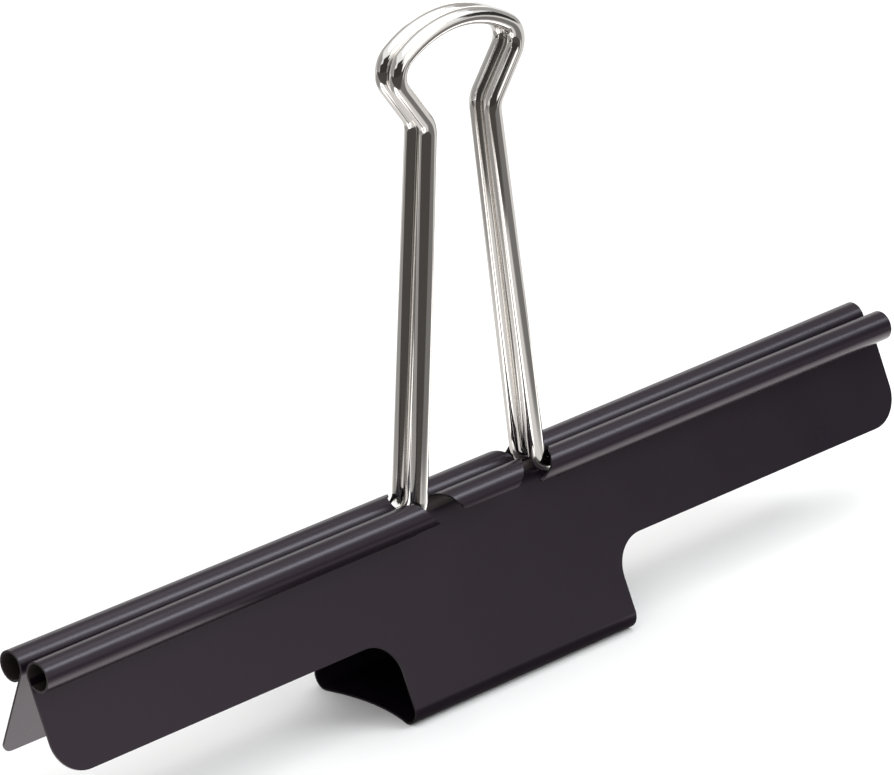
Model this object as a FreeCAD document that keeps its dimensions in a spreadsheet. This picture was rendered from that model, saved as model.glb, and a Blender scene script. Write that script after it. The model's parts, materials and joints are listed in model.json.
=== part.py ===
import FreeCAD, Part
import math
import os
import Sketcher
from FreeCAD import Placement, Rotation, Vector

# A wide-jaw binder clip. One strip of spring steel is bent into a three-sided tube: a flat back and two
# sloping jaws whose lips are curled outwards. Two bent-wire handles have their feet inside the curls.
# X runs along the jaws, Y from the front jaw (-Y) to the rear jaw (+Y), Z up from the back's underside.
# Each jaw and each handle is drawn on the front side, and the rear ones are turned half round Z. The two
# handles are the same, and the two jaws differ only in the corners of their wings.

doc = FreeCAD.newDocument("binder_clip")
sheet = doc.addObject("Spreadsheet::Sheet", "sizes")

SIZES = [
    # the steel strip
    ("jaw_length", 150.0),        # along the curled lips
    ("jaw_height", 24.3),         # centre of the curls above the back's underside
    ("back_depth", 19.2),         # outside of one bend to outside of the other
    ("back_width", 39.7),         # along X at the bends
    ("back_waist", 1.2),          # how far each side of the back draws in at its middle
    ("sheet_thickness", 0.3),
    ("bend_radius", 2.0),         # outside of the bends
    ("curl_radius", 2.05),        # outside of the curled lips
    ("jaw_gap", 0.3),             # between the two curls
    ("curl_wrap", 330.0),         # degrees that the long curls turn through
    ("tongue_wrap", 214.0),       # degrees that the middle tongue turns through
    ("wing_bottom", 11.45),       # lower edge of the wings above the back's underside
    ("front_wing_corner", 4.8),   # corner radius at the ends of the front jaw's wings
    ("rear_wing_corner", 1.8),    # corner radius at the ends of the rear jaw's wings
    ("wing_fillet", 4.8),         # radius between a wing and the middle panel
    ("tongue_taper", 4.2),        # how far each side of the middle tongue draws in towards its edge
    # the wire handles
    ("wire_radius", 1.15),
    ("leg_spacing", 21.3),        # between the leg lines at the feet's axis
    ("leg_clearance", 0.2),       # from a leg to the end of the long curl
    ("tongue_clearance", 0.3),    # from a leg to the root of the middle tongue
    ("root_clearance", 0.06),     # from a leg to the root of the notch it stands in
    ("foot_clearance", 0.12),     # from a foot to the inner side of the curl's bore
    ("foot_reach", 7.5),          # from the leg line to the end of the foot
    ("foot_bend", 2.0),           # centre-line radius
    ("neck_width", 11.1),         # between the two neck corners
    ("neck_height", 51.2),        # neck corners above the feet's axis
    ("neck_bend", 3.0),           # centre-line radius
    ("shoulder_width", 20.4),     # widest part of the head, centre line to centre line
    ("shoulder_bend", 3.0),       # centre-line radius
    ("crown_bend", 16.0),         # centre-line radius of the top of the head
    ("head_height", 63.8),        # crown above the feet's axis
    ("head_gap", 0.15),           # between the two heads
]
for row, (alias, value) in enumerate(SIZES, start=1):
    sheet.set(f"A{row}", alias)
    sheet.set(f"B{row}", str(value))
    sheet.setAlias(f"B{row}", alias)
doc.recompute()


def size(alias):
    return float(sheet.get(alias))


def origin_plane(body, role):
    return next(item for item in body.Origin.OriginFeatures if item.Role == role)


def new_body(label, turn):
    # a body whose Placement turns it about Z, by 0 for the front and 180 for the rear
    body = doc.addObject("PartDesign::Body", label)
    body.Label = label
    body.Placement = Placement(Vector(0, 0, 0), Rotation(Vector(0, 0, 1), turn))
    return body


def new_sketch(body, role, name):
    sketch = body.newObject("Sketcher::SketchObject", name)
    sketch.AttachmentSupport = (origin_plane(body, role), [""])
    sketch.MapMode = "FlatFace"
    return sketch


def bind(sketch, kind, where, start, expression):
    # one driving dimension, whose value comes from the sheet
    index = sketch.addConstraint(Sketcher.Constraint(kind, *where, start))
    sketch.setExpression(f"Constraints[{index}]", expression)


def place(sketch, geometry, point, x=None, y=None):
    # hold a point of the sketch at the stated distances from its origin
    at = sketch.getPoint(geometry, point)
    if x is not None:
        bind(sketch, "DistanceX", (-1, 1, geometry, point), at.x, x)
    if y is not None:
        bind(sketch, "DistanceY", (-1, 1, geometry, point), at.y, y)


def line(start, end):
    return Part.LineSegment(Vector(*start, 0), Vector(*end, 0))


def arc(centre, radius, first, last):
    # counter-clockwise from the first angle to the last, in radians
    circle = Part.Circle(Vector(*centre, 0), Vector(0, 0, 1), radius)
    return Part.ArcOfCircle(circle, first, last)


def polar(centre, radius, angle):
    return (centre[0] + radius * math.cos(angle), centre[1] + radius * math.sin(angle))


def chain(sketch, pieces, closed=True):
    # add lines and arcs whose ends follow each other; an arc drawn backwards is marked with -1
    ends = []
    for piece, sense in pieces:
        number = sketch.addGeometry(piece, False)
        ends.append((number, 1, 2) if sense > 0 else (number, 2, 1))
    pairs = list(zip(ends, ends[1:] + ends[:1]))
    return [number for number, first, last in ends], pairs if closed else pairs[:-1]


def join(sketch, pairs, smooth):
    # join the ends of the chain, smoothly where the pair's place is in the list
    for place_in_chain, ((one, first, end), (two, start, last)) in enumerate(pairs):
        kind = "Tangent" if place_in_chain in smooth else "Coincident"
        sketch.addConstraint(Sketcher.Constraint(kind, one, end, two, start))


def pad(body, sketch, name, length, midplane=False):
    feature = body.newObject("PartDesign::Pad", name)
    feature.Profile = sketch
    feature.setExpression("Length", length)
    if midplane:
        feature.SideType = "Symmetric"
    return feature


def mirror_in_x(body, features, name):
    feature = body.newObject("PartDesign::Mirrored", name)
    feature.Originals = features
    feature.MirrorPlane = (origin_plane(body, "YZ_Plane"), [""])
    body.Tip = feature
    return feature


# Places that several pieces share, written as the sheet's user would write them.
CURL_OFFSET = "(sizes.curl_radius + sizes.jaw_gap / 2)"
BEND_OFFSET = "(sizes.back_depth / 2 - sizes.bend_radius)"
BORE_RADIUS = "(sizes.curl_radius - sizes.sheet_thickness)"
BEND_INSIDE = "(sizes.bend_radius - sizes.sheet_thickness)"
NOTCH_END = "(sizes.leg_spacing / 2 + sizes.wire_radius + sizes.leg_clearance)"
FOOT_AXIS = f"({CURL_OFFSET} - {BORE_RADIUS} + sizes.wire_radius + sizes.foot_clearance)"
ROOT_INSIDE = f"({BORE_RADIUS} - sizes.foot_clearance + sizes.root_clearance)"
ROOT_RISE = f"sqrt({BORE_RADIUS} ^ 2 - {ROOT_INSIDE} ^ 2)"
TONGUE_ROOT = "(sizes.leg_spacing / 2 - sizes.wire_radius - sizes.tongue_clearance)"
SPREAD = f"({BEND_OFFSET} - {CURL_OFFSET})"
RISE = "(sizes.jaw_height - sizes.bend_radius)"
SLOPE = (
    f"(atan2({SPREAD}; {RISE})"
    f" + asin((sizes.bend_radius + {BORE_RADIUS}) / hypot({RISE}; {SPREAD})))"
)

curl_offset = size("curl_radius") + size("jaw_gap") / 2
bend_offset = size("back_depth") / 2 - size("bend_radius")
bore_radius = size("curl_radius") - size("sheet_thickness")
bend_inside = size("bend_radius") - size("sheet_thickness")
foot_axis = curl_offset - bore_radius + size("wire_radius") + size("foot_clearance")

# The root of each notch is a level cut through the curl's inner side, above the curl's centre.
root_inside = bore_radius - size("foot_clearance") + size("root_clearance")
root_rise = math.sqrt(bore_radius ** 2 - root_inside ** 2)
root_angle_in = math.asin(root_rise / bore_radius)
root_angle_out = math.asin(root_rise / size("curl_radius"))
tongue_root = size("leg_spacing") / 2 - size("wire_radius") - size("tongue_clearance")

# The jaw's slope from the vertical: its faces touch the bend's circles and the curl's circles.
rise = size("jaw_height") - size("bend_radius")
spread = bend_offset - curl_offset
slope = math.atan2(spread, rise) + math.asin((size("bend_radius") + bore_radius) / math.hypot(rise, spread))


def make_back():
    # the flat back between the two bends, its free sides drawn in to a slight waist
    body = new_body("spring_back", 0)
    sketch = new_sketch(body, "XY_Plane", "back_outline")
    half = size("back_width") / 2
    waist = size("back_waist")
    side_radius = (bend_offset ** 2 + waist ** 2) / (2 * waist)
    reach = math.asin(bend_offset / side_radius)
    right = (half - waist + side_radius, 0)
    left = (-right[0], 0)
    pieces = [
        (line((-half, -bend_offset), (half, -bend_offset)), 1),
        (arc(right, side_radius, math.pi - reach, math.pi + reach), -1),
        (line((half, bend_offset), (-half, bend_offset)), 1),
        (arc(left, side_radius, -reach, reach), -1),
    ]
    (front, right_side, rear, left_side), pairs = chain(sketch, pieces)
    join(sketch, pairs, smooth=[])
    place(sketch, front, 1, "-sizes.back_width / 2", "-" + BEND_OFFSET)
    place(sketch, front, 2, "sizes.back_width / 2", "-" + BEND_OFFSET)
    place(sketch, rear, 1, "sizes.back_width / 2", BEND_OFFSET)
    place(sketch, rear, 2, "-sizes.back_width / 2", BEND_OFFSET)
    radius = f"({BEND_OFFSET} ^ 2 + sizes.back_waist ^ 2) / (2 * sizes.back_waist)"
    for side in (right_side, left_side):
        bind(sketch, "Radius", (side,), side_radius, radius)
    pad(body, sketch, "back_panel", "sizes.sheet_thickness")
    return body


def jaw_strip(body):
    # section of the bend, the sloping jaw and the inner side of the curl, up to the notches' root
    sketch = new_sketch(body, "YZ_Plane", "strip_section")
    bend = (-bend_offset, size("bend_radius"))
    curl = (-curl_offset, size("jaw_height"))
    facing = math.pi - slope                      # from the bend's centre to the jaw's outer face
    inner_foot = polar(bend, bend_inside, facing)
    outer_foot = polar(bend, size("bend_radius"), facing)
    outer_top = polar(curl, bore_radius, -slope)
    inner_top = polar(curl, size("curl_radius"), -slope)
    root_in = polar(curl, bore_radius, root_angle_in)
    root_out = polar(curl, size("curl_radius"), root_angle_out)
    pieces = [
        (line((-bend_offset, size("sheet_thickness")), (-bend_offset, 0)), 1),
        (arc(bend, size("bend_radius"), facing, 1.5 * math.pi), -1),
        (line(outer_foot, outer_top), 1),
        (arc(curl, bore_radius, -slope, root_angle_in), 1),
        (line(root_in, root_out), 1),
        (arc(curl, size("curl_radius"), -slope, root_angle_out), -1),
        (line(inner_top, inner_foot), 1),
        (arc(bend, bend_inside, facing, 1.5 * math.pi), 1),
    ]
    numbers, pairs = chain(sketch, pieces)
    seam, bend_out, jaw_out, bore, root, curl_out, jaw_in, bend_in = numbers
    join(sketch, pairs, smooth=[1, 2, 5, 6])
    for ring, centre_y, centre_z, radius in (
        (bend_out, "-" + BEND_OFFSET, "sizes.bend_radius", "sizes.bend_radius"),
        (bend_in, "-" + BEND_OFFSET, "sizes.bend_radius", BEND_INSIDE),
        (bore, "-" + CURL_OFFSET, "sizes.jaw_height", BORE_RADIUS),
        (curl_out, "-" + CURL_OFFSET, "sizes.jaw_height", "sizes.curl_radius"),
    ):
        place(sketch, ring, 3, centre_y, centre_z)
        bind(sketch, "Radius", (ring,), sketch.Geometry[ring].Radius, radius)
    place(sketch, seam, 1, x="-" + BEND_OFFSET)
    place(sketch, seam, 2, x="-" + BEND_OFFSET)
    place(sketch, root, 1, y="sizes.jaw_height + " + ROOT_RISE)
    place(sketch, root, 2, y="sizes.jaw_height + " + ROOT_RISE)
    return pad(body, sketch, "strip", "sizes.jaw_length", midplane=True)


def curl_section(body, name, wrap):
    # section of the curl from the notches' root round to its free edge
    sketch = new_sketch(body, "YZ_Plane", name)
    curl = (-curl_offset, size("jaw_height"))
    edge = math.radians(size(wrap)) - slope
    edge_out = polar(curl, size("curl_radius"), edge)
    edge_in = polar(curl, bore_radius, edge)
    root_in = polar(curl, bore_radius, root_angle_in)
    root_out = polar(curl, size("curl_radius"), root_angle_out)
    pieces = [
        (arc(curl, size("curl_radius"), root_angle_out, edge), 1),
        (line(edge_out, edge_in), 1),
        (arc(curl, bore_radius, root_angle_in, edge), -1),
        (line(root_in, root_out), 1),
    ]
    (outside, tip, bore, root), pairs = chain(sketch, pieces)
    join(sketch, pairs, smooth=[])
    place(sketch, outside, 3, "-" + CURL_OFFSET, "sizes.jaw_height")
    place(sketch, bore, 3, "-" + CURL_OFFSET, "sizes.jaw_height")
    bind(sketch, "Radius", (outside,), size("curl_radius"), "sizes.curl_radius")
    bind(sketch, "Radius", (bore,), bore_radius, BORE_RADIUS)
    place(sketch, root, 1, y="sizes.jaw_height + " + ROOT_RISE)
    place(sketch, root, 2, y="sizes.jaw_height + " + ROOT_RISE)
    turned = f"(sizes.{wrap} * 1 deg - {SLOPE})"
    for point, radius in ((1, "sizes.curl_radius"), (2, BORE_RADIUS)):
        place(sketch, tip, point, x=f"-{CURL_OFFSET} + {radius} * cos({turned})")
    return sketch


def long_curls(body):
    # the curl beyond the notches, on both sides
    sketch = curl_section(body, "long_curl_section", "curl_wrap")
    sketch.setExpression("AttachmentOffset.Base.z", NOTCH_END)
    long_curl = pad(body, sketch, "long_curl", "sizes.jaw_length / 2 - " + NOTCH_END)
    return mirror_in_x(body, [long_curl], "long_curls")


def middle_tongue(body):
    # the curl between the notches, then its sides cut back to a taper
    sketch = curl_section(body, "tongue_section", "tongue_wrap")
    pad(body, sketch, "tongue", "2 * " + TONGUE_ROOT, midplane=True)
    cut = new_sketch(body, "XY_Plane", "taper_outline")
    cut.setExpression("AttachmentOffset.Base.z", "sizes.jaw_height - " + ROOT_RISE)
    root_line = -curl_offset + root_inside
    outer_line = -curl_offset - size("curl_radius")
    root_end = (tongue_root, root_line)
    tip_end = (tongue_root - size("tongue_taper"), outer_line)
    corner = (tongue_root, outer_line)
    pieces = [(line(root_end, tip_end), 1), (line(tip_end, corner), 1), (line(corner, root_end), 1)]
    (taper, edge, side), pairs = chain(cut, pieces)
    join(cut, pairs, smooth=[])
    root_rule = f"-{CURL_OFFSET} + {ROOT_INSIDE}"
    outer_rule = f"-{CURL_OFFSET} - sizes.curl_radius"
    place(cut, taper, 1, TONGUE_ROOT, root_rule)
    place(cut, edge, 1, TONGUE_ROOT + " - sizes.tongue_taper", outer_rule)
    place(cut, side, 1, TONGUE_ROOT, outer_rule)
    taper_cut = pocket(body, cut, "taper")
    return mirror_in_x(body, [taper_cut], "tapers")


def wing_outline(body, corner_size):
    # what lies below the wings and beside the middle panel is cut away, with rounded corners
    sketch = new_sketch(body, "XZ_Plane", "below_wing")
    below = -size("bend_radius")
    neck = size("back_width") / 2
    end = size("jaw_length") / 2
    past = end + size(corner_size)
    level = size("wing_bottom")
    fillet = size("wing_fillet")
    corner = size(corner_size)
    corner_rule = "sizes." + corner_size
    pieces = [
        (line((neck, below), (neck, level - fillet)), 1),
        (arc((neck + fillet, level - fillet), fillet, 0.5 * math.pi, math.pi), -1),
        (line((neck + fillet, level), (end - corner, level)), 1),
        (arc((end - corner, level + corner), corner, -0.5 * math.pi, 0), 1),
        (line((end, level + corner), (past, level + corner)), 1),
        (line((past, level + corner), (past, below)), 1),
        (line((past, below), (neck, below)), 1),
    ]
    numbers, pairs = chain(sketch, pieces)
    neck_side, fillet_arc, wing_edge, corner_arc, wing_end, outer_side, floor = numbers
    join(sketch, pairs, smooth=[])
    place(sketch, neck_side, 1, "sizes.back_width / 2", "-sizes.bend_radius")
    place(sketch, neck_side, 2, "sizes.back_width / 2", "sizes.wing_bottom - sizes.wing_fillet")
    place(sketch, wing_edge, 1, "sizes.back_width / 2 + sizes.wing_fillet", "sizes.wing_bottom")
    place(sketch, wing_edge, 2, f"sizes.jaw_length / 2 - {corner_rule}", "sizes.wing_bottom")
    place(sketch, wing_end, 1, "sizes.jaw_length / 2", f"sizes.wing_bottom + {corner_rule}")
    place(sketch, wing_end, 2, f"sizes.jaw_length / 2 + {corner_rule}", f"sizes.wing_bottom + {corner_rule}")
    place(sketch, floor, 1, f"sizes.jaw_length / 2 + {corner_rule}", "-sizes.bend_radius")
    bind(sketch, "Radius", (fillet_arc,), fillet, "sizes.wing_fillet")
    bind(sketch, "Radius", (corner_arc,), corner, corner_rule)
    wing_cut = pocket(body, sketch, "wing")
    return mirror_in_x(body, [wing_cut], "wings")


def pocket(body, sketch, name):
    # cut through everything on the sketch's own side, and check that something was cut
    doc.recompute()
    before = body.Shape.Volume
    feature = body.newObject("PartDesign::Pocket", name)
    feature.Profile = sketch
    feature.Type = "ThroughAll"
    feature.Reversed = True
    doc.recompute()
    if not body.Shape.Volume < before:
        raise RuntimeError(f"{name} cuts nothing")
    return feature


def make_jaw(label, turn, corner_size):
    body = new_body(label, turn)
    jaw_strip(body)
    wing_outline(body, corner_size)
    long_curls(body)
    middle_tongue(body)
    return body


def rounded_corner(before, corner, after, radius):
    # the arc that rounds a corner of the route, and the points where it starts and ends
    reach_in = Vector(before[0] - corner[0], before[1] - corner[1], 0).normalize()
    reach_out = Vector(after[0] - corner[0], after[1] - corner[1], 0).normalize()
    half = reach_in.getAngle(reach_out) / 2
    run = radius / math.tan(half)
    middle = (reach_in + reach_out).normalize() * (radius / math.sin(half))
    centre = (corner[0] + middle.x, corner[1] + middle.y)
    start = (corner[0] + reach_in.x * run, corner[1] + reach_in.y * run)
    end = (corner[0] + reach_out.x * run, corner[1] + reach_out.y * run)
    first = math.atan2(start[1] - centre[1], start[0] - centre[0])
    last = math.atan2(end[1] - centre[1], end[0] - centre[0])
    if reach_in.cross(reach_out).z > 0:
        return start, end, (arc(centre, radius, last, first), -1)
    return start, end, (arc(centre, radius, first, last), 1)


def handle_route(body):
    # half of the wire's centre line, from the end of a foot round to the middle of the crown, drawn from
    # the feet's axis in a plane that leans in until the two heads nearly touch
    sketch = new_sketch(body, "XZ_Plane", "half_route")
    sketch.AttachmentOffset = Placement(Vector(0, 0, 0), Rotation(Vector(-1, 0, 0), 1))
    sketch.setExpression("AttachmentOffset.Base.y", "sizes.jaw_height")
    sketch.setExpression("AttachmentOffset.Base.z", FOOT_AXIS)
    lean = f"asin(({FOOT_AXIS} - sizes.wire_radius - sizes.head_gap / 2) / sizes.head_height)"
    sketch.setExpression("AttachmentOffset.Rotation.Angle", lean)
    leg_foot = (size("leg_spacing") / 2, 0)
    foot_end = (leg_foot[0] + size("foot_reach"), 0)
    neck = (size("neck_width") / 2, size("neck_height"))
    crown = size("crown_bend")
    shoulder = size("shoulder_bend")
    shoulder_x = size("shoulder_width") / 2 - shoulder
    crown_centre = (0, size("head_height") - crown)
    shoulder_centre = (shoulder_x, crown_centre[1] + math.sqrt((crown - shoulder) ** 2 - shoulder_x ** 2))
    to_neck = math.atan2(neck[1] - shoulder_centre[1], neck[0] - shoulder_centre[0])
    neck_away = math.hypot(neck[0] - shoulder_centre[0], neck[1] - shoulder_centre[1])
    flare_end = to_neck + math.acos(shoulder / neck_away)
    flare_top = polar(shoulder_centre, shoulder, flare_end)
    crown_start = math.atan2(shoulder_centre[1] - crown_centre[1], shoulder_x)
    foot_top, leg_low, foot_arc = rounded_corner(foot_end, leg_foot, neck, size("foot_bend"))
    leg_top, flare_low, neck_arc = rounded_corner(leg_foot, neck, flare_top, size("neck_bend"))
    pieces = [
        (line(foot_end, foot_top), 1),
        foot_arc,
        (line(leg_low, leg_top), 1),
        neck_arc,
        (line(flare_low, flare_top), 1),
        (arc(shoulder_centre, shoulder, flare_end, crown_start), 1),
        (arc(crown_centre, crown, crown_start, 0.5 * math.pi), 1),
    ]
    numbers, pairs = chain(sketch, pieces, closed=False)
    foot, foot_turn, leg, neck_turn, flare, shoulder_turn, crown_turn = numbers
    join(sketch, pairs, smooth=range(len(pairs)))
    place(sketch, foot, 1, "sizes.leg_spacing / 2 + sizes.foot_reach", "0")
    sketch.addConstraint(Sketcher.Constraint("Horizontal", foot))
    bind(sketch, "Radius", (foot_turn,), size("foot_bend"), "sizes.foot_bend")
    bind(sketch, "Radius", (neck_turn,), size("neck_bend"), "sizes.neck_bend")
    bind(sketch, "Radius", (shoulder_turn,), shoulder, "sizes.shoulder_bend")
    bind(sketch, "Radius", (crown_turn,), crown, "sizes.crown_bend")
    place(sketch, shoulder_turn, 3, x="sizes.shoulder_width / 2 - sizes.shoulder_bend")
    place(sketch, crown_turn, 3, "0", "sizes.head_height - sizes.crown_bend")
    place(sketch, crown_turn, 2, x="0")
    foot_mark = sketch.addGeometry(Part.Point(Vector(*leg_foot, 0)), True)
    neck_mark = sketch.addGeometry(Part.Point(Vector(*neck, 0)), True)
    for mark, straight in ((foot_mark, leg), (neck_mark, leg), (neck_mark, flare)):
        sketch.addConstraint(Sketcher.Constraint("PointOnObject", mark, 1, straight))
    place(sketch, foot_mark, 1, "sizes.leg_spacing / 2", "0")
    place(sketch, neck_mark, 1, "sizes.neck_width / 2", "sizes.neck_height")
    return sketch, len(pieces)


def make_handle(label, turn):
    # round wire along the half route, then its mirror image
    body = new_body(label, turn)
    route, edges = handle_route(body)
    section = new_sketch(body, "YZ_Plane", "wire_section")
    section.setExpression("AttachmentOffset.Base.z", "sizes.leg_spacing / 2 + sizes.foot_reach")
    centre = Vector(-foot_axis, size("jaw_height"), 0)
    circle = section.addGeometry(Part.Circle(centre, Vector(0, 0, 1), size("wire_radius")), False)
    bind(section, "Radius", (circle,), size("wire_radius"), "sizes.wire_radius")
    place(section, circle, 3, "-" + FOOT_AXIS, "sizes.jaw_height")
    doc.recompute()
    half = body.newObject("PartDesign::AdditivePipe", "half_wire")
    half.Profile = section
    half.Spine = (route, [f"Edge{number}" for number in range(1, edges + 1)])
    doc.recompute()
    mirror_in_x(body, [half], "whole_wire")
    return body


parts = [
    make_back(),
    make_jaw("front_jaw", 0, "front_wing_corner"),
    make_jaw("rear_jaw", 180, "rear_wing_corner"),
    make_handle("front_handle", 0),
    make_handle("rear_handle", 180),
]
doc.recompute()

failed = [item.Name for item in doc.Objects if {"Invalid", "Error"} & set(item.State)]
if failed:
    raise RuntimeError("these objects failed: " + ", ".join(failed))
for item in doc.Objects:
    if item.TypeId == "Sketcher::SketchObject" and item.solve() != 0:
        raise RuntimeError(f"{item.Label} has no solution")
for part in parts:
    if part.Shape.isNull() or not part.Shape.isValid() or len(part.Shape.Solids) != 1:
        raise RuntimeError(f"{part.Label} is not one valid solid")

os.makedirs("parts", exist_ok=True)
for part in parts:
    part.Shape.exportStep(f"parts/{part.Label}.step")
    print(f"{part.Label}: {part.Shape.Volume:.1f} mm3")
print(f"each jaw slopes {math.degrees(slope):.3f} degrees from the vertical")
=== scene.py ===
import bmesh
import bpy
import json
import math
from mathutils import Matrix, Vector


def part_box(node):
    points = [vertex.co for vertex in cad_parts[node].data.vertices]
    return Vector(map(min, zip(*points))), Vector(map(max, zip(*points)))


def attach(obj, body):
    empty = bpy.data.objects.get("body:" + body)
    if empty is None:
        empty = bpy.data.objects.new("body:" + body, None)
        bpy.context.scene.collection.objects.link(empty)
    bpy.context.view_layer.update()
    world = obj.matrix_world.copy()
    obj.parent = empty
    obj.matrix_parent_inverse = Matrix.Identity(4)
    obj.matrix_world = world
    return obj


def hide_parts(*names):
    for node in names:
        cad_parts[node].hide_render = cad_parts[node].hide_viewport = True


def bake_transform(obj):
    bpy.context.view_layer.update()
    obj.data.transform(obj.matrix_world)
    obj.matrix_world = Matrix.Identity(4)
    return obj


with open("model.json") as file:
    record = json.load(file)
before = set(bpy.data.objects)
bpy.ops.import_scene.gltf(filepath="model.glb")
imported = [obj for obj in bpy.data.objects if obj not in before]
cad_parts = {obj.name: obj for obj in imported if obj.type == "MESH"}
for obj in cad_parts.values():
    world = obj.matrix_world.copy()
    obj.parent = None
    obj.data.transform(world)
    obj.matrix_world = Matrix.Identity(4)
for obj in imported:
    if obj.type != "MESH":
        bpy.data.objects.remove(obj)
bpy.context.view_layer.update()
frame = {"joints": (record.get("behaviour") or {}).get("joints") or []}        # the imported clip, with X along the lips, -Y the front and Z up

mm = 0.001
scene = bpy.context.scene
scene.view_settings.view_transform = "Standard"


def meters(*sizes):
    return Vector([size * mm for size in sizes])


# the camera and the room

shot = {
    "target": (-1.7, 1.57, 38.17),      # mm
    "distance": 813.5,                  # mm
    "azimuth": 42.70,                   # degrees, turning from +Y towards +X
    "elevation": 22.24,
    "roll": 2.64,
    "lens": 256.4,                      # mm, on a sensor this wide
    "sensor": 36.0,
    "nearest": 10.0,                    # mm, anything closer isn't drawn
}

room = {
    "floorSize": 6000.0,                # mm
    "floorColour": (0.88, 0.88, 0.88, 1),
    "floorRoughness": 0.9,
    "worldColour": (1.0, 1.0, 1.0, 1),
    "worldStrength": 1.0,
    "middleHeight": 35.0,               # mm, what the softboxes and cards face
    "cardTint": (1.0, 0.97, 0.95, 1),
    "shadeTint": (1.0, 0.91, 0.84, 1),  # of the dark cards in front of the clip
    "cardLayer": 0.01,                  # mm from the floor to the first floor card and between them
}

softboxes = [
    # turn in degrees from +X, rise above the floor in degrees, distance and size in mm, watts
    {"name": "topBox", "turn": -27, "rise": 82, "distance": 950, "size": (900, 900), "power": 3.0,
     "tint": (1.0, 1.0, 1.0)},
    {"name": "rightBox", "turn": 319, "rise": 43, "distance": 950, "size": (430, 230), "power": 2.5,
     "tint": (0.88, 0.98, 1.0)},
]

# cards round the clip that only show as reflections, each facing it with soft edges
cards = [
    {"name": "frontLow", "turn": 217, "rise": 7, "distance": 1000, "size": (2260, 880), "soft": 70,
     "light": 0.045, "tint": room["shadeTint"]},
    {"name": "frontHigh", "turn": 220, "rise": 34, "distance": 990, "size": (900, 440), "soft": 60,
     "light": 0.045, "tint": room["shadeTint"]},
    {"name": "leftSide", "turn": 139, "rise": 20, "distance": 1010, "size": (1150, 1000), "soft": 150,
     "light": 0.36},
    {"name": "leftBack", "turn": 85, "rise": 20, "distance": 1020, "size": (1100, 1000), "soft": 150,
     "light": 0.48},
    {"name": "rightWall", "turn": 283, "rise": 28, "distance": 880, "size": (690, 960), "soft": 50,
     "light": 1.35},
    {"name": "rightDark", "turn": 325, "rise": 4, "distance": 860, "size": (460, 640), "soft": 35,
     "light": 0.04},
    {"name": "rightBack", "turn": 356, "rise": 20, "distance": 980, "size": (640, 1000), "soft": 120,
     "light": 0.42},
    {"name": "backHigh", "turn": 399, "rise": 36, "distance": 960, "size": (1000, 560), "soft": 120,
     "light": 0.50},
    {"name": "backBox", "turn": 407, "rise": 19, "distance": 900, "size": (560, 200), "soft": 60,
     "light": 2.0},
]

# cards on the floor, seen only in reflections like the cards above: painted reflections of a floor
# brighter or darker than the pale one; how far the near edge is from the clip, then how deep and how
# wide
floorCards = [
    {"name": "midFloor", "turn": 0, "gap": -1600, "size": (3200, 3200), "soft": 100, "light": 0.75},
    {"name": "leftFloor", "turn": 142, "gap": 65, "size": (900, 300), "soft": 40, "light": 0.34},
    # painted reflections: glowing cards standing in for a brightly lit floor under the wings
    {"name": "underRightWings", "turn": 0, "gap": 20, "size": (115, 84), "soft": 18, "light": 2.3},
    {"name": "underLeftWings", "turn": 180, "gap": 20, "size": (110, 84), "soft": 18, "light": 2.3},
    # painted shadow: a dim card standing in for the floor's shade under the clip's back, seen only in
    # reflections
    {"name": "underBackShadow", "turn": 270, "gap": -30, "size": (64, 62), "soft": 12, "light": 0.10},
    {"name": "cameraFloor", "turn": 217, "gap": 99, "size": (1400, 2400), "soft": 12, "light": 0.075,
     "tint": room["shadeTint"]},
    {"name": "rightFloor", "turn": 293, "gap": 55, "size": (230, 230), "soft": 35, "light": 0.20},
]


def addObject(name, data):
    item = bpy.data.objects.new(name, data)
    scene.collection.objects.link(item)
    return item


def newMaterial(name):
    material = bpy.data.materials.new(name)
    material.use_nodes = True
    return material, material.node_tree.nodes, material.node_tree.links


def makeCamera():
    data = bpy.data.cameras.new("camera")
    data.lens = shot["lens"]
    data.sensor_width = shot["sensor"]
    data.clip_start = shot["nearest"] * mm
    camera = addObject("camera", data)
    azimuth = math.radians(shot["azimuth"])
    elevation = math.radians(shot["elevation"])
    forward = Vector((math.sin(azimuth) * math.cos(elevation),
                      math.cos(azimuth) * math.cos(elevation),
                      -math.sin(elevation)))
    turn = forward.to_track_quat("-Z", "Y").to_matrix().to_4x4()
    roll = Matrix.Rotation(-math.radians(shot["roll"]), 4, "Z")
    place = meters(*shot["target"]) - forward * shot["distance"] * mm
    camera.matrix_world = Matrix.Translation(place) @ turn @ roll
    scene.camera = camera


def facingClip(item):
    # where a softbox or card stands, turned to face the clip
    turn = math.radians(item["turn"])
    rise = math.radians(item["rise"])
    outwards = Vector((math.cos(turn) * math.cos(rise), math.sin(turn) * math.cos(rise), math.sin(rise)))
    place = meters(0, 0, room["middleHeight"]) + outwards * item["distance"] * mm
    facing = outwards.to_track_quat("Z", "Y").to_matrix().to_4x4()
    return Matrix.Translation(place) @ facing


def makeSoftbox(box):
    data = bpy.data.lights.new(box["name"], "AREA")
    data.shape = "RECTANGLE"
    data.size = box["size"][0] * mm
    data.size_y = box["size"][1] * mm
    data.energy = box["power"]
    data.color = box["tint"]
    light = addObject(box["name"], data)
    light.matrix_world = facingClip(box)
    light.visible_camera = False


def fadeTowards(nodes, links, distance, half, soft):
    # 1 in the middle of a card, falling smoothly to 0 at its edge
    size = nodes.new("ShaderNodeMath")
    size.operation = "ABSOLUTE"
    links.new(distance, size.inputs[0])
    fade = nodes.new("ShaderNodeMapRange")
    fade.interpolation_type = "SMOOTHSTEP"
    fade.inputs["From Min"].default_value = half * mm
    fade.inputs["From Max"].default_value = (half - soft) * mm
    links.new(size.outputs[0], fade.inputs["Value"])
    return fade.outputs["Result"]


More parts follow.
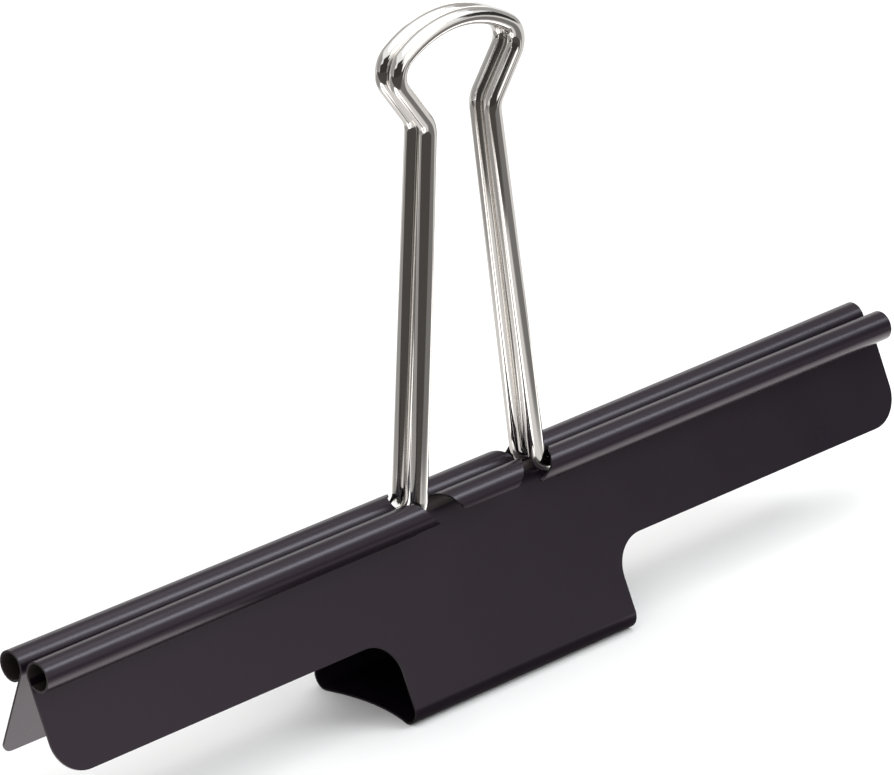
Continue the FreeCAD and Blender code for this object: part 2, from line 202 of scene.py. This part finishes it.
def cutPaper(name, width, height):
    bm = bmesh.new()
    bmesh.ops.create_grid(bm, x_segments=1, y_segments=1, size=mm / 2)
    bmesh.ops.scale(bm, verts=bm.verts, vec=(width, height, 1))
    mesh = bpy.data.meshes.new(name)
    bm.to_mesh(mesh)
    bm.free()
    return addObject(name, mesh)


def makeCard(card, place):
    width, height = card["size"]
    paper = cutPaper(card["name"], width, height)
    paper.matrix_world = place
    tone, nodes, links = newMaterial(card["name"])
    where = nodes.new("ShaderNodeSeparateXYZ")
    links.new(nodes.new("ShaderNodeTexCoord").outputs["Object"], where.inputs["Vector"])
    both = nodes.new("ShaderNodeMath")
    both.operation = "MULTIPLY"
    links.new(fadeTowards(nodes, links, where.outputs["X"], width / 2, card["soft"]), both.inputs[0])
    links.new(fadeTowards(nodes, links, where.outputs["Y"], height / 2, card["soft"]), both.inputs[1])
    glow = nodes.new("ShaderNodeEmission")
    glow.inputs["Color"].default_value = card.get("tint", room["cardTint"])
    glow.inputs["Strength"].default_value = card["light"]
    mix = nodes.new("ShaderNodeMixShader")
    links.new(both.outputs[0], mix.inputs["Fac"])
    links.new(nodes.new("ShaderNodeBsdfTransparent").outputs[0], mix.inputs[1])
    links.new(glow.outputs[0], mix.inputs[2])
    links.new(mix.outputs[0], nodes["Material Output"].inputs["Surface"])
    paper.data.materials.append(tone)
    paper.visible_camera = False
    paper.visible_diffuse = False
    paper.visible_shadow = False
    paper.visible_transmission = False


def makeFloorCard(card, level):
    turn = Matrix.Rotation(math.radians(card["turn"]), 4, "Z")
    makeCard(card, turn @ Matrix.Translation(meters(card["gap"] + card["size"][0] / 2, 0, level)))


def makeRoom():
    world = bpy.data.worlds.new("studio")
    world.use_nodes = True
    background = world.node_tree.nodes["Background"]
    background.inputs["Color"].default_value = room["worldColour"]
    background.inputs["Strength"].default_value = room["worldStrength"]
    scene.world = world
    floor = cutPaper("floor", room["floorSize"], room["floorSize"])
    matt, nodes = newMaterial("paleFloor")[:2]
    nodes["Principled BSDF"].inputs["Base Color"].default_value = room["floorColour"]
    nodes["Principled BSDF"].inputs["Roughness"].default_value = room["floorRoughness"]
    floor.data.materials.append(matt)


makeCamera()
makeRoom()
for box in softboxes:
    makeSoftbox(box)
for card in cards:
    makeCard(card, facingClip(card))
for layer, card in enumerate(floorCards):
    makeFloorCard(card, room["cardLayer"] * (layer + 1))
print("camera, floor, softboxes and cards ready")


# the steel strip, drawn flat as a blank and then bent

strip = {
    "thickness": 0.3,         # mm
    "bendRadius": 2.0,        # outside of the two bends
    "curlRadius": 2.05,       # outside of the curled lips
    "curlWrap": 330.0,        # degrees
    "tongueWrap": 214.0,
    "backWaist": 1.2,
    "wingBottom": 11.45,      # above the back's underside
    "frontWingCorner": 4.8,
    "rearWingCorner": 1.8,
    "wingFillet": 4.8,
    "lipGap": 0.3,
    "lipBow": 0.3,            # how much further apart the lips are at their ends
    "edgeRounding": 0.06,
    "waistSteps": 6,          # straight runs that each curve of the outline is drawn in
    "wingSteps": 14,
    "backCuts": 4,            # cuts across the blank, which let it bend
    "bendCuts": 18,
    "jawCuts": 8,
    "curlCuts": 48,
    "lengthCuts": 30,         # and along it, which let the lips bow
    "rimAngle": 69,           # degrees, a rim turns by more than this
    "flatNormal": 0.95,       # a face that points up or down more than this is not a cut edge
    "sharpAngle": 25,         # degrees
}

# the opening in the curl that each leg of a handle comes out of, with the foot inside
# points are (mm across from the middle, where the curl faces there in degrees)
notch = {
    "cornerAcross": 12.9,
    "cornerFacing": -40,
    "tip": (9.3, -38),        # of the long curl, rounded
    "tipDrop": 0.2,           # mm
    "tipRadius": 0.25,
    "tipArc": (60, 200),
    "tipSteps": 4,
    "curlSide": [(9.6, -22), (10.3, 0), (10.75, 15), (11.0, 32), (11.4, 53)],
    "scoop": (11.5, 125),     # round the leg
    "scoopRadius": 1.4,
    "scoopArc": (70, -75),
    "scoopSteps": 12,
    "rootHeight": 0.45,       # mm above the curl's centre
    "rootAcross": (11.2, 9.1),
    "rootRadius": 0.5,
    "rootSteps": 4,
    "tongueSide": [(7.9, 116), (7.2, 86), (6.35, 53), (5.8, 23)],
    "tongueCorner": 4.4,      # mm from the middle to the corner's centre
    "tongueRadius": 0.9,
    "tongueArc": (10, 90),
    "tongueSteps": 5,
}

jawLow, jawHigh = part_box("front_jaw")
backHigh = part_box("spring_back")[1]
halfLength = jawHigh.x / mm
halfBack = backHigh.x / mm
jawHeight = jawHigh.z / mm - strip["curlRadius"]
bendOffset = -jawLow.y / mm - strip["bendRadius"]
curlOffset = strip["curlRadius"] + strip["lipGap"] / 2

# radii of the strip's middle surface, and the lean of the jaw that touches both circles
bendMiddle = strip["bendRadius"] - strip["thickness"] / 2
curlMiddle = strip["curlRadius"] - strip["thickness"] / 2
rise = jawHeight - strip["bendRadius"]
spread = bendOffset - curlOffset
slope = math.atan2(spread, rise) + math.asin((bendMiddle + curlMiddle) / math.hypot(rise, spread))

# distances along the strip from the middle of the back
bendEnd = bendOffset + bendMiddle * (math.pi / 2 + slope)
curlStart = bendEnd + math.sqrt(rise ** 2 + spread ** 2 - (bendMiddle + curlMiddle) ** 2)


def alongCurl(angle):
    # where the curl faces the angle in degrees: 180 inwards, 90 up, 0 outwards, -90 down
    return curlStart + curlMiddle * (math.pi + slope - math.radians(angle))


curlEnd = alongCurl(180 + math.degrees(slope) - strip["curlWrap"])
tongueEnd = alongCurl(180 + math.degrees(slope) - strip["tongueWrap"])


def notchPoints(points):
    return [(across, alongCurl(facing)) for across, facing in points]


def alongJaw(height):
    # where the sloping jaw reaches the height
    start = strip["bendRadius"] + bendMiddle * math.sin(slope)
    return bendEnd + (height - start) / math.cos(slope)


def bentPlace(along, offset):
    # outward distance and height of a point of the bent strip, offset towards its inner face
    if along <= bendOffset:
        return along, strip["thickness"] / 2 + offset
    if along <= bendEnd:
        turned = (along - bendOffset) / bendMiddle
        radius = bendMiddle - offset
        return bendOffset + radius * math.sin(turned), strip["bendRadius"] - radius * math.cos(turned)
    if along <= curlStart:
        run = along - bendEnd
        out = bendOffset + (bendMiddle - offset) * math.cos(slope) - run * math.sin(slope)
        return out, strip["bendRadius"] + (bendMiddle - offset) * math.sin(slope) + run * math.cos(slope)
    facing = math.pi + slope - (along - curlStart) / curlMiddle
    radius = curlMiddle + offset
    return curlOffset + radius * math.cos(facing), jawHeight + radius * math.sin(facing)


def arcPoints(centre, radius, first, last, steps):
    # points of an arc between two angles in degrees, both ends included
    angles = [math.radians(first + (last - first) * step / steps) for step in range(steps + 1)]
    return [(centre[0] + radius * math.cos(a), centre[1] + radius * math.sin(a)) for a in angles]


def halfOutline(corner):
    # right side of the flat blank, from the middle of the back up to the middle tongue's edge
    side = []
    waist = strip["backWaist"]
    waistRadius = (bendOffset ** 2 + waist ** 2) / (2 * waist)
    reach = math.degrees(math.asin(bendOffset / waistRadius))
    side += arcPoints((halfBack - waist + waistRadius, 0), waistRadius, 180, 180 - reach,
                      strip["waistSteps"])
    wing = alongJaw(strip["wingBottom"])
    fillet = strip["wingFillet"]
    side += arcPoints((halfBack + fillet, wing - fillet), fillet, 180, 90, strip["wingSteps"])
    side += arcPoints((halfLength - corner, wing + corner), corner, -90, 0, strip["wingSteps"])
    side += [(halfLength, curlEnd), (notch["cornerAcross"], curlEnd)]
    side += notchPoints([(notch["cornerAcross"], notch["cornerFacing"])])
    tip, tipAlong = notchPoints([notch["tip"]])[0]
    side += arcPoints((tip, tipAlong - notch["tipDrop"]), notch["tipRadius"], *notch["tipArc"],
                      notch["tipSteps"])
    side += notchPoints(notch["curlSide"])
    scoop = notchPoints([notch["scoop"]])[0]
    side += arcPoints(scoop, notch["scoopRadius"], *notch["scoopArc"], notch["scoopSteps"])
    root = alongCurl(180 - math.degrees(math.asin(notch["rootHeight"] / curlMiddle)))
    side += [(across, root) for across in notch["rootAcross"]]
    rootRadius = notch["rootRadius"]
    side += arcPoints((notch["rootAcross"][1], root + rootRadius), rootRadius, -90, -180,
                      notch["rootSteps"])
    side += notchPoints(notch["tongueSide"])
    tongueRadius = notch["tongueRadius"]
    side += arcPoints((notch["tongueCorner"], tongueEnd - tongueRadius), tongueRadius,
                      *notch["tongueArc"], notch["tongueSteps"])
    return side


def cutBlank(bm, axis, places):
    # cut the blank across at each place along one axis
    for place in places:
        point = Vector((0, 0, 0))
        point[axis] = place
        normal = Vector((0, 0, 0))
        normal[axis] = 1
        everything = bm.verts[:] + bm.edges[:] + bm.faces[:]
        bmesh.ops.bisect_plane(bm, geom=everything, dist=1e-5, plane_co=point, plane_no=normal)


def spaced(first, last, count):
    return [first + (last - first) * step / count for step in range(1, count)]


def finishMesh(bm, name, sharpAngle):
    mesh = bpy.data.meshes.new(name)
    bm.to_mesh(mesh)
    bm.free()
    for polygon in mesh.polygons:
        polygon.use_smooth = True
    mesh.set_sharp_from_angle(angle=math.radians(sharpAngle))
    return addObject(name, mesh)


def makeStrip(name, turn, corner):
    # half of the strip, from the middle of the back round to one curled lip
    right = halfOutline(corner)
    outline = right + [(-x, along) for x, along in reversed(right)]
    bm = bmesh.new()
    corners = [bm.verts.new((x, along, -strip["thickness"] / 2)) for x, along in outline]
    blank = bm.faces.new(corners)
    raised = bmesh.ops.extrude_face_region(bm, geom=[blank])["geom"]
    lifted = [item for item in raised if isinstance(item, bmesh.types.BMVert)]
    bmesh.ops.translate(bm, verts=lifted, vec=(0, 0, strip["thickness"]))
    bmesh.ops.recalc_face_normals(bm, faces=bm.faces)
    # the rims run round both faces, but not where the two halves of the strip meet
    tiny = 1e-6
    rims = [edge for edge in bm.edges if edge.calc_face_angle(0) > math.radians(strip["rimAngle"])
            and abs(edge.verts[0].co.z - edge.verts[1].co.z) < tiny
            and max(edge.verts[0].co.y, edge.verts[1].co.y) > tiny]
    bmesh.ops.bevel(bm, geom=rims, offset=strip["edgeRounding"], offset_type="OFFSET", segments=2,
                    profile=0.5, affect="EDGES", material=-1, clamp_overlap=True)
    flatNormal = strip["flatNormal"]
    for face in bm.faces:
        face.material_index = 0 if abs(face.normal.z) > flatNormal else 1
    cutBlank(bm, 1, spaced(0, bendOffset, strip["backCuts"]) + [bendOffset])
    cutBlank(bm, 1, spaced(bendOffset, bendEnd, strip["bendCuts"]) + [bendEnd])
    cutBlank(bm, 1, spaced(bendEnd, curlStart, strip["jawCuts"]) + [curlStart])
    cutBlank(bm, 1, spaced(curlStart, curlEnd, strip["curlCuts"]))
    cutBlank(bm, 0, spaced(-halfLength, halfLength, strip["lengthCuts"]))
    # the inside of each curl takes the third coat, painted lighter as painted light
    for face in bm.faces:
        if face.normal.z < -flatNormal and face.calc_center_median().y > curlStart:
            face.material_index = 2
    for vert in bm.verts:
        x, along, offset = vert.co
        out, height = bentPlace(along, offset)
        bow = strip["lipBow"] * (x / halfLength) ** 2 * max(0, height / jawHeight)
        vert.co = meters(x, -out - bow, height)
    bmesh.ops.recalc_face_normals(bm, faces=bm.faces)
    bmesh.ops.rotate(bm, verts=bm.verts, cent=(0, 0, 0), matrix=Matrix.Rotation(turn, 3, "Z"))
    piece = finishMesh(bm, name, strip["sharpAngle"])
    for material in enamels:
        piece.data.materials.append(material)
    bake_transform(piece)
    return piece


# finishes

enamel = {
    "sheenTint": (1.0, 0.88, 1.0, 1),
    "cloudScale": 90.0,           # clouds and bumps per metre
    "cloudDetail": 4,
    "peelScale": 1500.0,
    "peelDetail": 2,
    "peelStrength": 0.5,
    "peelHeight": 0.000012,       # metres
}

# in the order of the strip's material slots: its faces, its sheared edges, the inside of its curls
coats = [
    {"name": "blackEnamel", "colour": (0.0062, 0.0030, 0.0072, 1), "paler": (0.0085, 0.0048, 0.0095, 1),
     "roughness": (0.26, 0.31), "specular": 0.38},
    {"name": "cutEdge", "colour": (0.008, 0.006, 0.007, 1), "paler": (0.014, 0.011, 0.012, 1),
     "roughness": (0.34, 0.46), "specular": 0.2},
    # painted light: lighter, browner enamel inside the curls, standing in for light reaching into them
    {"name": "curlInsidePaintedLight", "colour": (0.020, 0.015, 0.014, 1), "paler": (0.030, 0.023, 0.021, 1),
     "roughness": (0.4, 0.5), "specular": 0.3},
]

nickel = {
    "colour": (0.81, 0.795, 0.77, 1),
    "roughness": (0.045, 0.10),
    "streakScale": (2600, 2600, 60),     # streaks per metre across the wire and along it
    "streakDetail": 3,
    "streakStrength": 0.6,
    "streakHeight": 0.0000015,           # metres
}


def varyRoughness(nodes, links, noise, limits):
    gloss = nodes.new("ShaderNodeMapRange")
    gloss.inputs["To Min"].default_value = limits[0]
    gloss.inputs["To Max"].default_value = limits[1]
    links.new(noise.outputs["Fac"], gloss.inputs["Value"])
    links.new(gloss.outputs["Result"], nodes["Principled BSDF"].inputs["Roughness"])


def raiseBumps(nodes, links, noise, strength, height):
    bump = nodes.new("ShaderNodeBump")
    bump.inputs["Strength"].default_value = strength
    bump.inputs["Distance"].default_value = height
    links.new(noise.outputs["Fac"], bump.inputs["Height"])
    links.new(bump.outputs["Normal"], nodes["Principled BSDF"].inputs["Normal"])


def makeEnamel(coat):
    # satin black stove enamel with a faint orange peel and a slightly uneven sheen
    material, nodes, links = newMaterial(coat["name"])
    shader = nodes["Principled BSDF"]
    where = nodes.new("ShaderNodeTexCoord")
    cloud = nodes.new("ShaderNodeTexNoise")
    cloud.inputs["Scale"].default_value = enamel["cloudScale"]
    cloud.inputs["Detail"].default_value = enamel["cloudDetail"]
    links.new(where.outputs["Object"], cloud.inputs["Vector"])
    tone = nodes.new("ShaderNodeMix")
    tone.data_type = "RGBA"
    tone.inputs["A"].default_value = coat["colour"]
    tone.inputs["B"].default_value = coat["paler"]
    links.new(cloud.outputs["Fac"], tone.inputs["Factor"])
    links.new(tone.outputs["Result"], shader.inputs["Base Color"])
    shader.inputs["Specular Tint"].default_value = enamel["sheenTint"]
    shader.inputs["Specular IOR Level"].default_value = coat["specular"]
    varyRoughness(nodes, links, cloud, coat["roughness"])
    peel = nodes.new("ShaderNodeTexNoise")
    peel.inputs["Scale"].default_value = enamel["peelScale"]
    peel.inputs["Detail"].default_value = enamel["peelDetail"]
    links.new(where.outputs["Object"], peel.inputs["Vector"])
    raiseBumps(nodes, links, peel, enamel["peelStrength"], enamel["peelHeight"])
    return material


def makeNickel():
    # bright plating over drawn wire: streaks run along the wire, on the coordinate kept in wireSpace
    material, nodes, links = newMaterial("brightNickel")
    nodes["Principled BSDF"].inputs["Metallic"].default_value = 1
    nodes["Principled BSDF"].inputs["Base Color"].default_value = nickel["colour"]
    along = nodes.new("ShaderNodeAttribute")
    along.attribute_name = "wireSpace"
    stretch = nodes.new("ShaderNodeMapping")
    stretch.inputs["Scale"].default_value = nickel["streakScale"]
    links.new(along.outputs["Vector"], stretch.inputs["Vector"])
    streak = nodes.new("ShaderNodeTexNoise")
    streak.inputs["Scale"].default_value = 1
    streak.inputs["Detail"].default_value = nickel["streakDetail"]
    links.new(stretch.outputs["Vector"], streak.inputs["Vector"])
    varyRoughness(nodes, links, streak, nickel["roughness"])
    raiseBumps(nodes, links, streak, nickel["streakStrength"], nickel["streakHeight"])
    return material


enamels = [makeEnamel(coat) for coat in coats]
brightNickel = makeNickel()
print("enamel and nickel mixed")

frontStrip = makeStrip("frontStrip", 0, strip["frontWingCorner"])
rearStrip = makeStrip("rearStrip", math.pi, strip["rearWingCorner"])
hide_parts("front_jaw", "spring_back")
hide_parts("rear_jaw")
print("strip blanked and bent")


# the wire handles

wire = {
    "radius": 1.15,            # mm
    "legSpacing": 21.3,
    "footReach": 7.5,
    "footBend": 2.1,
    "neckWidth": 11.1,
    "neckHeight": 51.2,
    "neckBend": 3.0,
    "shoulderWidth": 20.4,
    "shoulderBend": 3.0,
    "crownBend": 16.0,
    "headHeight": 63.8,
    "headGap": 0.15,           # between the two upright heads
    "endRounding": 0.2,
    "endSegments": 3,
    "ringPoints": 40,
    "bendStep": 4.0,           # degrees
    "feedStep": 2.5,           # mm
    "sharpAngle": 35,          # degrees
}

joints = {joint["name"]: joint for joint in frame["joints"]}
frontAxis = Vector(joints["front_handle_swing"]["pos_m"])


def wireMoves():
    # feeds in mm and bends as (degrees, radius) from a foot's end to the middle of the crown
    half = wire["legSpacing"] / 2
    neck = Vector((wire["neckWidth"] / 2, wire["neckHeight"]))
    legLean = math.atan2(half - neck.x, neck.y)
    crownCentre = wire["headHeight"] - wire["crownBend"]
    shoulderX = wire["shoulderWidth"] / 2 - wire["shoulderBend"]
    drop = math.sqrt((wire["crownBend"] - wire["shoulderBend"]) ** 2 - shoulderX ** 2)
    shoulder = Vector((shoulderX, crownCentre + drop))
    toNeck = neck - shoulder
    tangent = math.atan2(toNeck.y, toNeck.x) + math.acos(wire["shoulderBend"] / toNeck.length)
    flareLean = -tangent
    flareRun = math.sqrt(toNeck.length ** 2 - wire["shoulderBend"] ** 2)
    crownStart = math.atan2(drop, shoulderX)
    footTurn = math.pi / 2 - legLean
    neckTurn = legLean + flareLean
    footCut = wire["footBend"] * math.tan(footTurn / 2)
    neckCut = wire["neckBend"] * math.tan(neckTurn / 2)
    legRun = math.hypot(half - neck.x, neck.y)
    return [
        ("feed", wire["footReach"] - footCut),
        ("bend", footTurn, wire["footBend"]),
        ("feed", legRun - footCut - neckCut),
        ("bend", neckTurn, wire["neckBend"]),
        ("feed", flareRun - neckCut),
        ("bend", -(flareLean + crownStart), wire["shoulderBend"]),
        ("bend", crownStart - math.pi / 2, wire["crownBend"]),
    ]


def stepsFor(move):
    if move[0] == "feed":
        return max(1, round(move[1] / wire["feedStep"]))
    return max(2, round(abs(math.degrees(move[1])) / wire["bendStep"]))


def makeHandle(name, turn):
    # wire fed and bent from one foot round to the other, drawn upright on the feet's axis
    bm = bmesh.new()
    space = bm.verts.layers.float_vector.new("wireSpace")
    half = wire["legSpacing"] / 2
    start = Vector((half + wire["footReach"], 0, 0))
    facing = Matrix.Rotation(math.radians(-90), 4, "Y")
    ring = bmesh.ops.create_circle(bm, segments=wire["ringPoints"], radius=wire["radius"],
                                   matrix=Matrix.Translation(start) @ facing)["verts"]
    firstRing = list({edge for vert in ring for edge in vert.link_edges})
    edges = firstRing
    spot = start.copy()
    heading = Vector((-1, 0, 0))
    run = 0.0
    angles = [2 * math.pi * number / len(ring) for number in range(len(ring))]
    for vert, angle in zip(ring, angles):
        vert[space] = Vector((math.cos(angle), math.sin(angle), 0)) * wire["radius"] * mm
    moves = wireMoves()
    for move in moves + moves[::-1]:
        steps = stepsFor(move)
        for _ in range(steps):
            grown = bmesh.ops.extrude_edge_only(bm, edges=edges)["geom"]
            verts = [item for item in grown if isinstance(item, bmesh.types.BMVert)]
            edges = [item for item in grown if isinstance(item, bmesh.types.BMEdge)
                     and item.verts[0] in verts and item.verts[1] in verts]
            if move[0] == "feed":
                bmesh.ops.translate(bm, verts=verts, vec=heading * move[1] / steps)
                spot += heading * move[1] / steps
                run += move[1] / steps
            else:
                step = move[1] / steps
                side = Vector((heading.z, 0, -heading.x)) * math.copysign(1, move[1])
                centre = spot + side * move[2]
                matrix = Matrix.Rotation(step, 3, "Y")
                bmesh.ops.rotate(bm, verts=verts, cent=centre, matrix=matrix)
                spot = centre + matrix @ (spot - centre)
                heading = matrix @ heading
                run += abs(step) * move[2]
            for vert in verts:
                vert[space].z = run * mm
    caps = bmesh.ops.holes_fill(bm, edges=firstRing + edges, sides=0)["faces"]
    bmesh.ops.recalc_face_normals(bm, faces=bm.faces)
    rims = [edge for cap in caps for edge in cap.edges]
    bmesh.ops.bevel(bm, geom=rims, offset=wire["endRounding"], segments=wire["endSegments"],
                    profile=0.5, affect="EDGES", material=-1)
    footAxis = -frontAxis.y / mm
    inward = footAxis - wire["radius"] - wire["headGap"] / 2
    lean = Matrix.Rotation(-math.asin(inward / wire["headHeight"]), 4, "X")
    place = Matrix.Translation((0, -footAxis, frontAxis.z / mm)) @ lean
    whole = Matrix.Scale(mm, 4) @ Matrix.Rotation(turn, 4, "Z") @ place
    bmesh.ops.transform(bm, matrix=whole, verts=bm.verts)
    piece = finishMesh(bm, name, wire["sharpAngle"])
    piece.data.materials.append(brightNickel)
    return piece


for node, turn in (("front_handle", 0), ("rear_handle", math.pi)):
    handle = makeHandle(node.replace("_handle", "Wire"), turn)
    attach(handle, node)
    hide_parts(node)
print("wire handles bent")
